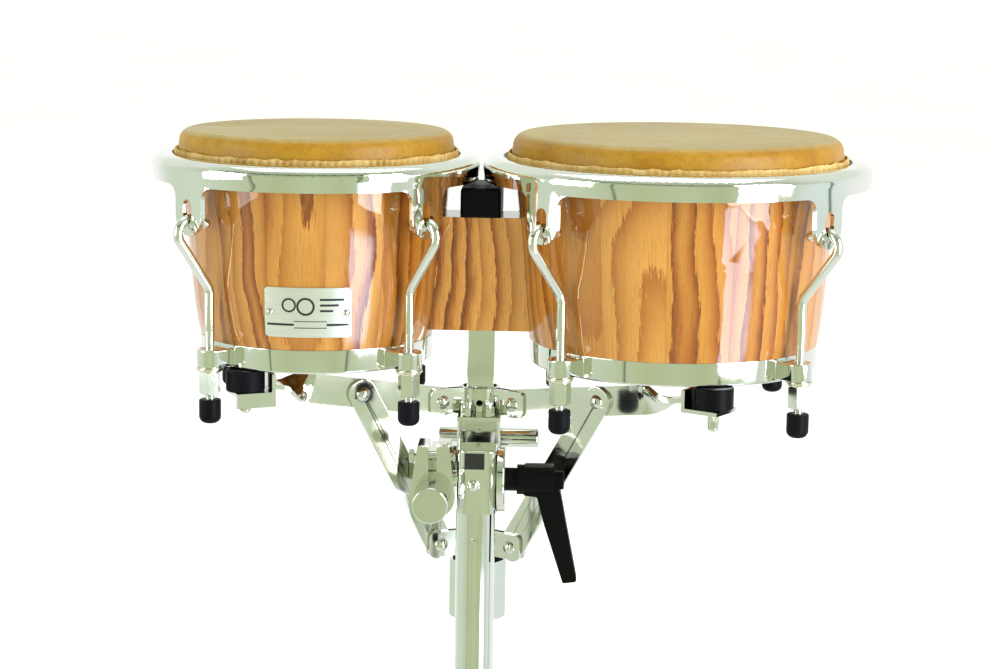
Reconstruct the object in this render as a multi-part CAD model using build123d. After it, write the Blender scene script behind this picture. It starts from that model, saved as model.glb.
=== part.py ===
from build123d import *
import math
import os

os.makedirs("parts", exist_ok=True)

# ---- where the working axes sit in the row frame -------------------------
# Working axes: x = 0 midway between the drum axes, y = 0 on the plane of the
# drum axes, z = 0 at the head tops. Row frame: lower end of the mast tube.
MAST_X = -8.9
MAST_Y = -45.0
MAST_BOTTOM_Z = -420.0

# ---- drums ---------------------------------------------------------------
DRUM_HALF_SPACING = 117.15
HEAD_T = 1.4
SHELL_WALL = 8.0
SHELL_BOTTOM_Z = -146.2
RING_TOP_Z = -133.4
RING_BOTTOM_Z = -148.5
RING_SKIN = 2.5
ROD_R = 3.2
THREAD_R = 2.85
THREAD_TOP_Z = -123.5
ROD_BORE_R = 3.55
ROD_END_Z = -176.0
EAR_T = 3.2
EAR_WIDTH = 25.4
EAR_BOTTOM_Z = -61.7
SLOT_W = 8.6
SLOT_TOP_Z = -39.0
SLOT_BOTTOM_Z = -55.4
HOOK_TOP_Z = -51.6
HOOK_OUT = 7.0
HOOK_IN = 14.4
WASHER_R = 8.75
WASHER_T = 3.4
NUT_AF = 12.2
NUT_LEN = 14.2
NUT_BORE_R = 2.9
BOSS_BOTTOM_Z = -146.3
TIP_R = 7.0
TIP_TOP_Z = -167.6
TIP_BOTTOM_Z = -183.0

SMALL = dict(
    x=-DRUM_HALF_SPACING,
    twist=2.2,
    shell=[(86.8, -1.45), (86.7, -28.0), (85.0, -56.0), (81.8, -92.0), (77.2, -128.0), (75.6, -134.6)],
    head_r=89.0,
    corner=(7.7, 7.75, 7.6),
    rim=[(93.7, -15.2), (97.8, -15.0), (102.0, -15.9), (105.2, -17.8), (106.7, -20.2), (107.0, -22.6),
         (106.6, -26.8), (106.1, -31.0)],
    ear_r=106.1,
    ring_r=76.4,
    nut_turn=(11.0, -17.0, -21.0, -25.0),
    rod_r=89.3,
)
LARGE = dict(
    x=DRUM_HALF_SPACING,
    twist=1.5,
    shell=[(104.7, -1.45), (104.4, -28.0), (101.9, -56.0), (98.7, -92.0), (95.3, -128.0), (94.3, -134.6)],
    head_r=106.9,
    corner=(8.65, 8.85, 8.62),
    rim=[(112.6, -15.2), (116.7, -15.0), (121.0, -15.9), (124.1, -17.8), (125.7, -20.1), (126.0, -22.4),
         (125.6, -26.4), (125.1, -30.2)],
    ear_r=125.1,
    ring_r=94.2,
    nut_turn=(24.0, 7.0, 16.5, 0.0),
    rod_r=105.7,
)
EAR_ANGLES = (45.0, 135.0, 225.0, 315.0)

# ---- centre block and badge ---------------------------------------------
BLOCK_HALF_Y = 20.0
BLOCK_TOP_Z = -54.0
BLOCK_BOTTOM_Z = -128.0
BOLT_Z = (-74.0, -110.0)
BOLT_R = 3.0
BADGE_W = 54.0
BADGE_H = 32.0
BADGE_X = -114.0
BADGE_Z = -108.6
BADGE_T = 0.9

# ---- stand head -----------------------------------------------------------
HUB_X = -9.2
HUB_Y = 9.0
HUB_R = 13.3
HUB_TOP_Z = -169.8
HUB_BOTTOM_Z = -187.0
POST_R = 6.0
POST_BOTTOM_Z = -386.0
EAR_PLATE_T = 2.0
ARM_T = 3.2
ARM_H = 19.0
ARM_GAP = 0.15
ARM_PIVOT_RHO = 28.0
ARM_PIVOT_Z = -178.7
LINK_PIVOT_RHO = 29.5
LINK_PIVOT_Z = -275.0
PIVOT_R = 2.5
LINK_SLOT_R = 5.2
PAD_R = 12.4
PAD_TOP_Z = -148.5
PAD_T = 14.0
LEFT_ARM = dict(azimuth=205.5, joint_rho=84.3, joint_z=-169.5, twist_rho=(117.0, 140.0), plate_rho=146.0,
                pad_rho=162.5, flange=1)
RIGHT_ARM = dict(azimuth=327.0, joint_rho=94.1, joint_z=-168.5, twist_rho=(124.0, 152.0), plate_rho=161.5,
                 pad_rho=178.0, flange=0)
COLLAR_TOP_Z = -266.0
COLLAR_BOTTOM_Z = -283.0
BASKET_NUT_TOP_Z = -287.2
BASKET_NUT_BOTTOM_Z = -327.0
TILT_Y = -45.0
TILT_Z = -220.5
SHAFT_R = 5.0
MAST_R = 12.7
MAST_WALL = 1.5
BARREL = (-20.8, 5.0, -59.0, -31.0, -241.0, -199.6)
DISC_R = 21.0
YBAR_R = 11.6
YBAR_X = -36.4
YBAR_Z = -230.6
YBAR_FRONT_Y = -82.0
YBAR_REAR_Y = -31.0
CLAMP_FRONT_Y = -58.0
CLAMP_REAR_Y = -32.0
XBAR_R = 6.4
XBAR_Y = 24.0
XBAR_Z = -208.2

ROW = Pos(-MAST_X, -MAST_Y, -MAST_BOTTOM_Z)


def save(name, *solids):
    flat = []
    for item in solids:
        flat += list(item.solids())
    moved = [ROW * s for s in flat]
    shape = moved[0] if len(moved) == 1 else Compound(children=moved)
    export_step(shape, "parts/" + name + ".step")


def turned(points):
    outline = Polyline(*[(r, 0, z) for r, z in points], close=True)
    return revolve(make_face(outline), Axis.Z, 360)


def turned_band(outer, inner):
    a = [(r, 0, z) for r, z in outer]
    b = [(r, 0, z) for r, z in inner]
    edges = [Spline(*a), Line(a[-1], b[-1]), Spline(*b[::-1]), Line(b[0], a[0])]
    return revolve(make_face(Wire(edges)), Axis.Z, 360)


def inward(points, depth):
    out = []
    for i in range(len(points)):
        r0, z0 = points[max(i - 1, 0)]
        r1, z1 = points[min(i + 1, len(points) - 1)]
        run = math.hypot(r1 - r0, z1 - z0)
        nr, nz = (z1 - z0) / run, -(r1 - r0) / run
        out.append((points[i][0] + nr * depth, points[i][1] + nz * depth))
    return out


def rod_x(x0, x1, y, z, r):
    return Pos((x0 + x1) / 2, y, z) * Rot(0, 90, 0) * Cylinder(r, abs(x1 - x0))


def rod_y(y0, y1, x, z, r):
    return Pos(x, (y0 + y1) / 2, z) * Rot(90, 0, 0) * Cylinder(r, abs(y1 - y0))


def rod_z(z0, z1, x, y, r):
    return Pos(x, y, (z0 + z1) / 2) * Cylinder(r, abs(z1 - z0))


def block(x0, x1, y0, y1, z0, z1):
    return Pos((x0 + x1) / 2, (y0 + y1) / 2, (z0 + z1) / 2) * Box(abs(x1 - x0), abs(y1 - y0), abs(z1 - z0))


def hexagon(af, z0, z1, sides=6):
    prism = extrude(RegularPolygon(radius=af / 2 / math.cos(math.pi / sides), side_count=sides), amount=abs(z1 - z0))
    prism = Pos(0, 0, min(z0, z1)) * prism
    r = af / 2 / math.cos(math.pi / sides)
    low, high = min(z0, z1), max(z0, z1)
    drop = (r - af / 2) * 0.7
    keep = turned([(0, low), (af / 2 - 0.1, low), (r, low + drop), (r, high - drop), (af / 2 - 0.1, high), (0, high)])
    return prism & keep


def dome(r, h):
    ball = (r * r + h * h) / (2 * h)
    cap = Pos(0, 0, h - ball) * Sphere(ball)
    return cap & (Pos(0, 0, h / 2) * Cylinder(r, h))


def shell_radius(points, z):
    for (r0, z0), (r1, z1) in zip(points, points[1:]):
        if z1 <= z <= z0:
            return r0 + (r1 - r0) * (z - z0) / (z1 - z0)
    return points[-1][0]


def corner_arc(d, r, first, last, steps):
    # points round the head's rounded corner, from the playing face to the side
    _, back, drop = d["corner"]
    angles = [math.radians(first + (last - first) * i / steps) for i in range(steps + 1)]
    return [(d["head_r"] - back + r * math.cos(a), -drop + r * math.sin(a)) for a in angles]


def spin(shape, angle, x):
    return Pos(x, 0, 0) * Rot(0, 0, angle) * shape


# ---- one drum ---------------------------------------------------------------
washer_rings = []
hoops = []


def make_drum(tag, d, toward):
    x = d["x"]
    outer = d["shell"]
    inner = [(r - SHELL_WALL, z) for r, z in outer]
    seat_r = d["ring_r"] - RING_SKIN

    wall = turned_band(outer, inner)
    foot = turned([(outer[-1][0] - SHELL_WALL, RING_TOP_Z - 0.6), (seat_r - 0.05, RING_TOP_Z - 0.6),
                   (seat_r - 0.05, SHELL_BOTTOM_Z), (outer[-1][0] - SHELL_WALL, SHELL_BOTTOM_Z)])
    trim = turned([(seat_r - 0.05, RING_TOP_Z + 0.05), (seat_r + 20, RING_TOP_Z + 0.05),
                   (seat_r + 20, RING_TOP_Z - 20), (seat_r - 0.05, RING_TOP_Z - 20)])
    side_in = d["head_r"] - HEAD_T
    ring_r, back, drop = d["corner"]
    edge_cut = turned(corner_arc(d, ring_r - HEAD_T - 0.07, 84.0, -8.0, 12) +
                      [(side_in + 5, -drop - 1.0), (side_in + 5, -0.4), (d["head_r"] - back, -0.4)])
    shell = (wall + foot) - trim - edge_cut
    shell = Pos(x, 0, 0) * shell
    for z in BOLT_Z:
        r_in = shell_radius(outer, z) - SHELL_WALL
        shell -= rod_x(x + toward * (r_in - 12), x + toward * (r_in + 0.7), 0, z, 9.2)
        shell -= rod_x(x, x + toward * (r_in + 14), 0, z, BOLT_R + 0.1)
    if tag == "small":
        for sx in (-1, 1):
            shell -= badge_hole(sx)
    save(tag + "_shell", shell)

    head_r = d["head_r"]
    wrap_out = d["rim"][0][0] + 1.6
    side_in = head_r - HEAD_T
    first = math.degrees(math.asin(drop / ring_r))
    over = [(r, 0, z) for r, z in corner_arc(d, ring_r, first, 0.0, 2)]
    inner_r = ring_r - HEAD_T
    under = [(r, 0, z) for r, z in corner_arc(d, inner_r, math.degrees(math.asin((drop - HEAD_T) / inner_r)), 0.0, 2)]
    arc = ThreePointArc(*over)
    side = ThreePointArc(over[-1], (head_r + 0.5, 0, -13.6), (head_r + 0.1, 0, -19.2))
    arc_in = ThreePointArc(*under)
    hoop_in = head_r + 0.5
    rest = [(head_r + 0.1, -19.2), (hoop_in, -19.6), (hoop_in, -27.4), (wrap_out - 1.3, -27.4),
            (wrap_out - 1.3, -19.6), (head_r + 4.3, -19.6), (head_r + 4.3, -18.3), (wrap_out, -18.3),
            (wrap_out, -28.7), (side_in, -28.7)]
    path = Polyline(*([(r, 0, z) for r, z in rest] + [under[-1]]))
    centre = Polyline(under[0], (0, 0, -HEAD_T), (0, 0, 0), over[0])
    head = revolve(make_face(Wire([arc, side] + list(path.edges()) + [arc_in] + list(centre.edges()))), Axis.Z, 360)
    save(tag + "_head", Pos(x, 0, 0) * head)

    hoop_c = (hoop_in + wrap_out - 1.3) / 2
    hoop_w = (wrap_out - 1.3 - hoop_in) / 2 - 0.05
    hoop = turned([(hoop_c - hoop_w, -27.35), (hoop_c + hoop_w, -27.35), (hoop_c + hoop_w, -19.7),
                   (hoop_c - hoop_w, -19.7)])
    hoops.append(Pos(x, 0, 0) * hoop)

    # free edge of the skin, standing up between the head's side and the rim
    teeth = 96 if tag == "small" else 120
    wave = 0.45 if tag == "small" else 0.15
    edge_out = head_r + 3.6
    ring_pts = []
    for i in range(teeth):
        a = 2 * math.pi * i / teeth
        rr = edge_out - (wave if i % 2 else 0)
        ring_pts.append((rr * math.cos(a), rr * math.sin(a)))
    ruff = extrude(make_face(Polyline(*ring_pts, close=True)), amount=8.3)
    ruff = Pos(0, 0, -19.4) * ruff
    ruff -= rod_z(-20, -10, 0, 0, head_r + (1.6 if tag == "small" else 2.0))
    save(tag + "_skin_edge", Pos(x, 0, 0) * ruff)

    # counterhoop: rolled lip with four slotted ears
    rim_out = d["rim"]
    lip = turned_band(rim_out, inward(rim_out, 2.6))
    neck_r = rim_out[0][0]
    lip += turned([(neck_r, -18.2), (neck_r + 2.6, -18.2), (neck_r + 2.6, -16.6), (neck_r, -16.6)])
    er = d["ear_r"]
    sketch = Pos(0, -44.0) * Rectangle(EAR_WIDTH, 30.0)
    sketch += Pos(0, EAR_BOTTOM_Z + EAR_WIDTH / 2) * Circle(EAR_WIDTH / 2)
    sketch -= Pos(0, -61.0) * Rectangle(60, 2 * (61.0 - 49.0)) - Pos(0, -49.0) * Circle(EAR_WIDTH / 2)
    skirt_z = rim_out[-1][1]
    root = Pos(0, skirt_z - 3.5) * Rectangle(EAR_WIDTH + 16.0, 9.0)
    for s in (-1, 1):
        root -= Pos(s * (EAR_WIDTH / 2 + 8.0), skirt_z - 8.0) * Circle(8.0)
    sketch += root
    slot_len = SLOT_TOP_Z - SLOT_BOTTOM_Z
    sketch -= Pos(0, (SLOT_TOP_Z + SLOT_BOTTOM_Z) / 2) * Rot(0, 0, 90) * SlotOverall(slot_len, SLOT_W)
    face_plane = Plane(origin=(er + 4, 0, 0), x_dir=(0, 1, 0), z_dir=(1, 0, 0))
    ear = extrude(face_plane * sketch, amount=-12.0)
    band = rod_z(-70, -20, 0, 0, er) - rod_z(-70, -20, 0, 0, er - EAR_T)
    ear = ear & band
    saddle = Circle(SLOT_W / 2 + 2.6) - Circle(SLOT_W / 2)
    saddle -= Pos(0, 10.6) * Rectangle(30, 20)
    saddle_z = SLOT_BOTTOM_Z + SLOT_W / 2
    saddle = extrude(face_plane * (Pos(0, saddle_z) * saddle), amount=-12.0)
    saddle = saddle & (rod_z(-70, -40, 0, 0, er + 0.9) - rod_z(-70, -40, 0, 0, er - 0.5))
    ear = ear + saddle
    rim = lip
    for a in EAR_ANGLES:
        rim += Rot(0, 0, a + d["twist"]) * ear
    save(tag + "_rim", Pos(x, 0, 0) * rim)

    # bottom ring with four bosses
    rr = d["ring_r"]
    ring = turned([(rr, RING_TOP_Z), (rr, RING_BOTTOM_Z + 1.0), (rr - 1.0, RING_BOTTOM_Z),
                   (rr - 10.4, RING_BOTTOM_Z), (rr - 10.4, RING_BOTTOM_Z + 2.2), (seat_r, RING_BOTTOM_Z + 2.2),
                   (seat_r, RING_TOP_Z)])
    boss = block(seat_r + 0.7, d["rod_r"] + 8.0, -8.75, 8.75, BOSS_BOTTOM_Z, RING_TOP_Z - 1.6)
    outer_edges = boss.edges().filter_by(Axis.Z).sort_by(Axis.X)[-2:]
    boss = fillet(outer_edges, 8.6)
    boss = fillet(boss.faces().sort_by(Axis.Z)[-1].edges(), 1.2)
    boss = boss - rod_z(-150, -130, d["rod_r"], 0, ROD_BORE_R)
    for a in EAR_ANGLES:
        ring += Rot(0, 0, a + d["twist"]) * boss
    save(tag + "_bottom_ring", Pos(x, 0, 0) * ring)

    # tuning hooks
    hx = er + HOOK_OUT
    line = FilletPolyline((er - HOOK_IN, 0, HOOK_TOP_Z - 3.6), (er - 8.0, 0, HOOK_TOP_Z), (hx, 0, HOOK_TOP_Z),
                          (hx, 0, -63.5), (d["rod_r"], 0, -96.0), (d["rod_r"], 0, ROD_END_Z),
                          radius=(6.0, 9.0, 8.0, 11.0))
    start = Vector(er - HOOK_IN, 0, HOOK_TOP_Z - 3.6)
    hook = sweep(Plane(origin=start, z_dir=line.tangent_at(0)) * Circle(ROD_R), path=line)
    hook += Pos(start) * Sphere(ROD_R)
    hook -= rod_z(ROD_END_Z - 1.0, THREAD_TOP_Z, d["rod_r"], 0, 5.0) - rod_z(ROD_END_Z - 2.0, THREAD_TOP_Z + 1.0,
                                                                          d["rod_r"], 0, THREAD_R)
    hooks = [spin(hook, a + d["twist"], x) for a in EAR_ANGLES]
    save(tag + "_tuning_hooks", *hooks)

    tip = rod_z(TIP_BOTTOM_Z, TIP_TOP_Z, 0, 0, TIP_R)
    tip = fillet(tip.edges().sort_by(Axis.Z)[0], 4.6)
    tip = fillet(tip.edges().sort_by(Axis.Z)[-1], 1.0)
    tip -= rod_z(ROD_END_Z - 0.1, -160, 0, 0, THREAD_R + 0.03)
    tips = [spin(Pos(d["rod_r"], 0, 0) * tip, a + d["twist"], x) for a in EAR_ANGLES]
    save(tag + "_hook_tips", *tips)

    z0 = BOSS_BOTTOM_Z - 0.03
    washer = turned([(ROD_BORE_R, z0), (6.6, z0), (6.6, z0 - 0.5), (WASHER_R, z0 - 0.5), (WASHER_R, z0 - 1.9),
                     (WASHER_R - 0.9, z0 - 1.9), (WASHER_R - 0.9, z0 - WASHER_T + 0.5),
                     (WASHER_R - 1.6, z0 - WASHER_T), (ROD_BORE_R, z0 - WASHER_T)])
    for a in EAR_ANGLES:
        washer_rings.append(spin(Pos(d["rod_r"], 0, 0) * washer, a + d["twist"], x))

    top = z0 - WASHER_T - 0.05
    nut = hexagon(NUT_AF, top - NUT_LEN, top) - rod_z(top - 20, top + 2, 0, 0, NUT_BORE_R)
    for i, a in enumerate(EAR_ANGLES):
        turned_nut = Pos(d["rod_r"], 0, 0) * Rot(0, 0, d["nut_turn"][i]) * nut
        save(tag + "_nut_" + str(i + 1), spin(turned_nut, a + d["twist"], x))


def badge_hole(sx):
    offset = sx * 23.6 + (BADGE_X - SMALL["x"])
    r = shell_radius(SMALL["shell"], BADGE_Z)
    angle = math.degrees(math.asin(offset / r))
    return Pos(SMALL["x"], 0, 0) * Rot(0, 0, -90 + angle) * rod_x(r - 5, r + 5, 0, BADGE_Z, 1.3)


def badge_screw(sx):
    offset = sx * 23.6 + (BADGE_X - SMALL["x"])
    r = shell_radius(SMALL["shell"], BADGE_Z)
    angle = math.degrees(math.asin(offset / r))
    head = Pos(r + BADGE_T + 1.1, 0, BADGE_Z) * Rot(0, 90, 0) * dome(2.3, 1.2)
    shank = rod_x(r - 4.5, r + BADGE_T + 1.2, 0, BADGE_Z, 1.2)
    return Pos(SMALL["x"], 0, 0) * Rot(0, 0, -90 + angle) * (head + shank)


make_drum("small", SMALL, 1)
make_drum("large", LARGE, -1)
save("tuning_washers", *washer_rings)
save("flesh_hoops", *hoops)

# ---- badge ---------------------------------------------------------------------
skin_out = [(r + BADGE_T, z) for r, z in SMALL["shell"]]
skin_in = [(r + 0.05, z) for r, z in SMALL["shell"]]
skin = Pos(SMALL["x"], 0, 0) * turned_band(skin_out, skin_in)
badge_tool = extrude(Plane(origin=(BADGE_X, 0, BADGE_Z), x_dir=(1, 0, 0), z_dir=(0, -1, 0))
                     * RectangleRounded(BADGE_W, BADGE_H, 2.5), amount=100)
badge = skin & (badge_tool - badge_hole(-1) - badge_hole(1))
save("badge_plate", badge)
save("badge_screws", badge_screw(-1), badge_screw(1))

# ---- centre block ----------------------------------------------------------------
core = block(-50, 40, -BLOCK_HALF_Y, BLOCK_HALF_Y, BLOCK_BOTTOM_Z, BLOCK_TOP_Z)
for d in (SMALL, LARGE):
    full = [(r + 0.05, z) for r, z in d["shell"]]
    a = [(r, 0, z) for r, z in full]
    face = make_face(Wire([Spline(*a), Line(a[-1], (0, 0, a[-1][2])), Line((0, 0, a[-1][2]), (0, 0, a[0][2])),
                           Line((0, 0, a[0][2]), a[0])]))
    core -= Pos(d["x"], 0, 0) * revolve(face, Axis.Z, 360)
core = [s for s in core.solids() if abs(s.center().X) < 20][0]
bolts = []
for d, toward in ((SMALL, 1), (LARGE, -1)):
    for z in BOLT_Z:
        r_in = shell_radius(d["shell"], z) - SHELL_WALL
        x0 = d["x"] + toward * (r_in + 0.65)
        x1 = d["x"] + toward * (r_in + 26.0)
        core -= rod_x(d["x"] + toward * r_in, x1 + toward * 0.5, 0, z, BOLT_R + 0.1)
        bolt = rod_x(x0 - toward * 2.0, x1, 0, z, BOLT_R)
        bolt += rod_x(x0 - toward * 1.5, x0, 0, z, 8.6)
        bolt += Pos(x0 - toward * 1.5, 0, z) * Rot(0, -90 * toward, 0) * dome(5.6, 3.4)
        bolts.append(bolt)
save("centre_block", core)
save("block_bolts", *bolts)

# ---- hook strap and its rubber -------------------------------------------------------
STRAP_HALF = 8.9
strap_side = [(11.0, -186.0), (11.0, -162.4), (20.4, -146.2), (20.4, -53.4), (-21.0, -53.4), (-21.0, -50.6),
              (23.0, -50.6), (23.0, -146.9), (13.6, -163.1), (13.6, -186.0)]
strap_face = make_face(Polyline(*[(HUB_X - STRAP_HALF, y, z) for y, z in strap_side], close=True))
strap = extrude(strap_face, amount=2 * STRAP_HALF, dir=(1, 0, 0))
save("hook_strap", strap)
rubber = block(HUB_X - 13.0, HUB_X + 13.0, -22.5, 34.0, -53.95, -35.0)
rubber = fillet(rubber.edges().filter_by(Axis.X).sort_by(Axis.Z)[-2:], 2.5)
rubber = fillet(rubber.edges().filter_by(Axis.Z), 2.5)
rubber -= block(HUB_X - STRAP_HALF - 0.05, HUB_X + STRAP_HALF + 0.05, -21.05, 23.05, -60.0, -50.55)
save("hook_rubber", rubber)


# ---- basket: hub, arms, links, collar --------------------------------------------------
def polar(shape, arm):
    return Pos(HUB_X, HUB_Y, 0) * Rot(0, 0, arm["azimuth"]) * shape


def bar_xz(x0, z0, x1, z1, width, y0, y1, end_r):
    # flat bar with round ends between two pivots, lying in the local XZ plane
    run = math.hypot(x1 - x0, z1 - z0)
    tilt = math.degrees(math.atan2(z1 - z0, x1 - x0))
    plane = Plane(origin=(x0, y1, z0), x_dir=(math.cos(math.radians(tilt)), 0, math.sin(math.radians(tilt))),
                  z_dir=(0, -1, 0))
    flat = Pos(run / 2, 0) * Rectangle(run + 2 * end_r, width)
    shape = extrude(plane * flat, amount=abs(y1 - y0))
    corner = [e for e in shape.edges().filter_by(Axis.Y)]
    return fillet(corner, width * 0.42)


def ear_pair(pivot_rho, z0, z1, start, arms, shape):
    for arm in arms:
        for s in (-1, 1):
            y0 = s * (ARM_T / 2 + ARM_GAP)
            y1 = y0 + s * EAR_PLATE_T
            plate = block(start, pivot_rho + 9.0, min(y0, y1), max(y0, y1), z0, z1)
            plate = fillet(plate.edges().filter_by(Axis.Y).sort_by(Axis.X)[-2:], 4.0)
            shape += polar(plate, arm)
    return shape


def pivot_hole(rho, z, arm, r):
    return polar(rod_y(-12, 12, rho, z, r), arm)


ARMS = (LEFT_ARM, RIGHT_ARM)
hub = rod_z(HUB_BOTTOM_Z, HUB_TOP_Z, HUB_X, HUB_Y, HUB_R)
hub = ear_pair(ARM_PIVOT_RHO, ARM_PIVOT_Z - 8.2, ARM_PIVOT_Z + 8.6, HUB_R - 2.0, ARMS, hub)
hub -= rod_z(HUB_BOTTOM_Z - 1, HUB_TOP_Z + 1, HUB_X, HUB_Y, HUB_R - 2.0)
hub -= rod_y(HUB_Y - 16, HUB_Y - 8, HUB_X + 0.2, -179.4, 2.2)
for arm in ARMS:
    hub -= pivot_hole(ARM_PIVOT_RHO, ARM_PIVOT_Z, arm, PIVOT_R + 0.05)
save("basket_hub", hub)

hub_plate = block(HUB_X - 14.0, HUB_X + 14.4, -13.5, 32.0, -190.0, HUB_BOTTOM_Z - 0.02)
hub_plate -= rod_z(-200, -180, HUB_X, HUB_Y, POST_R + 0.05)
BOLT_Y = -8.6
for bx in (-7.0, 6.6):
    hub_plate -= rod_z(-200, -180, HUB_X + bx, BOLT_Y, 2.05)
save("hub_plate", hub_plate)
hub_bolts = []
for bx in (-7.0, 6.6):
    screw = hexagon(6.6, HUB_BOTTOM_Z, HUB_BOTTOM_Z + 5.6)
    screw += rod_z(HUB_BOTTOM_Z + 5.5, HUB_BOTTOM_Z + 8.4, 0, 0, 2.3)
    screw += rod_z(-199.0, HUB_BOTTOM_Z + 1, 0, 0, 2.0)
    hub_bolts.append(Pos(HUB_X + bx, BOLT_Y, 0) * screw)
save("hub_bolts", *hub_bolts)

hub_block = block(HUB_X - 14.0, HUB_X + 14.4, -13.5, 16.5, -206.0, -190.02)
hub_block += block(HUB_X - 14.0, HUB_X + 14.4, 16.0, 32.0, -217.4, -190.02)
hub_block = fillet(hub_block.edges().filter_by(Axis.Z).sort_by(Axis.Y)[:2], 3.0)
hub_block -= rod_z(-220, -180, HUB_X, HUB_Y, POST_R + 0.05)
hub_block -= rod_x(HUB_X - 20, HUB_X + 20, XBAR_Y, XBAR_Z, XBAR_R + 0.05)
hub_block -= rod_y(-20, HUB_Y, HUB_X + 0.2, -195.2, 3.05)
for bx in (-7.0, 6.6):
    hub_block -= rod_z(-199.5, -180, HUB_X + bx, BOLT_Y, 2.05)
save("hub_block", hub_block)
set_screw = rod_y(-14.6, HUB_Y - POST_R - 0.2, HUB_X + 0.2, -195.2, 3.0)
socket = Plane(origin=(HUB_X + 0.2, -14.7, -195.2), x_dir=(1, 0, 0), z_dir=(0, -1, 0))
set_screw -= extrude(socket * RegularPolygon(radius=1.9, side_count=6), amount=-4.0)

cross_bar = rod_x(-37.0, 30.2, XBAR_Y, XBAR_Z, XBAR_R)
cross_bar = fillet(cross_bar.edges().sort_by(Axis.X)[-1], 2.0)
cross_bar = fillet(cross_bar.edges().sort_by(Axis.X)[0], 0.8)
save("cross_bar", cross_bar)

post = rod_z(POST_BOTTOM_Z, HUB_BOTTOM_Z + 0.5, HUB_X, HUB_Y, POST_R)
post = chamfer(post.edges().sort_by(Axis.Z)[0], 1.0)
save("centre_post", post)


def arm_solid(arm):
    rise = (arm["joint_z"] - ARM_PIVOT_Z) / (arm["joint_rho"] - ARM_PIVOT_RHO)
    tilt = math.degrees(math.atan(rise))
    c = math.cos(math.radians(tilt))
    t0 = (arm["twist_rho"][0] - ARM_PIVOT_RHO) / c
    t1 = (arm["twist_rho"][1] - ARM_PIVOT_RHO) / c
    end = (arm["plate_rho"] - ARM_PIVOT_RHO) / c
    flat = Pos((t0 - 9.0) / 2, 0) * Rectangle(t0 + 9.0, ARM_H)
    bar = extrude(Plane(origin=(0, ARM_T / 2, 0), x_dir=(1, 0, 0), z_dir=(0, -1, 0)) * flat, amount=ARM_T)
    bar = fillet(bar.edges().filter_by(Axis.Y).sort_by(Axis.X)[:2], 8.0)
    sections = []
    steps = 6
    for i in range(steps + 1):
        u = i / steps
        turn = 90.0 * (u * u * (3 - 2 * u))
        plane = Plane(origin=(t0 + (t1 - t0) * u, 0, 0), x_dir=(0, math.cos(math.radians(turn)),
                      math.sin(math.radians(turn))), z_dir=(1, 0, 0))
        sections.append(plane * Rectangle(ARM_T, ARM_H))
    twist = loft(sections, ruled=True)
    tail = block(t1, end + 0.8, -ARM_H / 2, ARM_H / 2, -ARM_T / 2, ARM_T / 2)
    whole = bar + twist + tail
    whole -= rod_y(-9, 9, 0, 0, PIVOT_R + 0.05)
    whole -= rod_y(-9, 9, (arm["joint_rho"] - ARM_PIVOT_RHO) / c, 0, PIVOT_R + 0.05)
    whole = Pos(ARM_PIVOT_RHO, 0, ARM_PIVOT_Z) * Rot(0, -tilt, 0) * whole
    p0 = arm["plate_rho"]
    low = PAD_TOP_Z - PAD_T
    bracket = block(p0, p0 + 2.5, -12.0, 12.0, low - 2.5, low + 11.5)
    bracket += block(p0, arm["pad_rho"] + 9.0, -12.0, 12.0, low - 2.5, low - 0.02)
    if arm["flange"]:
        bracket += block(p0, arm["pad_rho"] + 9.0, 9.5, 12.0, low - 9.5, low - 0.02)
    bracket -= rod_z(-200, -150, arm["pad_rho"], 0, 3.05)
    cut = block(p0 + 2.5, p0 + 40, -30, 30, -175, -140)
    return (whole - cut) + bracket


save("left_arm", polar(arm_solid(LEFT_ARM), LEFT_ARM))
save("right_arm", polar(arm_solid(RIGHT_ARM), RIGHT_ARM))


def pad_solid(arm):
    low = PAD_TOP_Z - PAD_T
    pad = rod_z(low, PAD_TOP_Z - 0.05, arm["pad_rho"], 0, PAD_R)
    pad = fillet(pad.edges().filter_by(GeomType.CIRCLE), 1.4)
    pad -= rod_z(low - 1, low + 7.0, arm["pad_rho"], 0, 3.05)
    return pad


def pad_screw(arm):
    low = PAD_TOP_Z - PAD_T - 2.5
    screw = rod_z(low - 1.2, low - 0.02, 0, 0, 6.2)
    screw += hexagon(7.4, low - 5.2, low - 1.2)
    nub = rod_z(low - 12.0, low - 5.1, 0, 0, 3.6)
    nub = fillet(nub.edges().sort_by(Axis.Z)[0], 2.4)
    screw += nub
    screw += rod_z(low - 2, low + 9.0, 0, 0, 3.0)
    return Pos(arm["pad_rho"], 0, 0) * screw


save("left_pad", polar(pad_solid(LEFT_ARM), LEFT_ARM))
save("right_pad", polar(pad_solid(RIGHT_ARM), RIGHT_ARM))


def link_solid(arm):
    # the link's fork: its upper end lies beside the arm, its lower end between the collar ears
    side = 1 if arm is LEFT_ARM else -1
    y0 = side * (ARM_T / 2 + ARM_GAP)
    y1 = y0 + side * 2.6
    dx = arm["joint_rho"] - LINK_PIVOT_RHO
    dz = arm["joint_z"] - LINK_PIVOT_Z
    link = bar_xz(LINK_PIVOT_RHO, LINK_PIVOT_Z, arm["joint_rho"], arm["joint_z"], ARM_H, min(y0, y1), max(y0, y1), 9.5)
    link -= rod_y(-9, 9, LINK_PIVOT_RHO, LINK_PIVOT_Z, LINK_SLOT_R)
    link -= rod_y(-9, 9, arm["joint_rho"], arm["joint_z"], PIVOT_R + 0.05)
    return link


save("left_link", polar(link_solid(LEFT_ARM), LEFT_ARM))
save("right_link", polar(link_solid(RIGHT_ARM), RIGHT_ARM))

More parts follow.
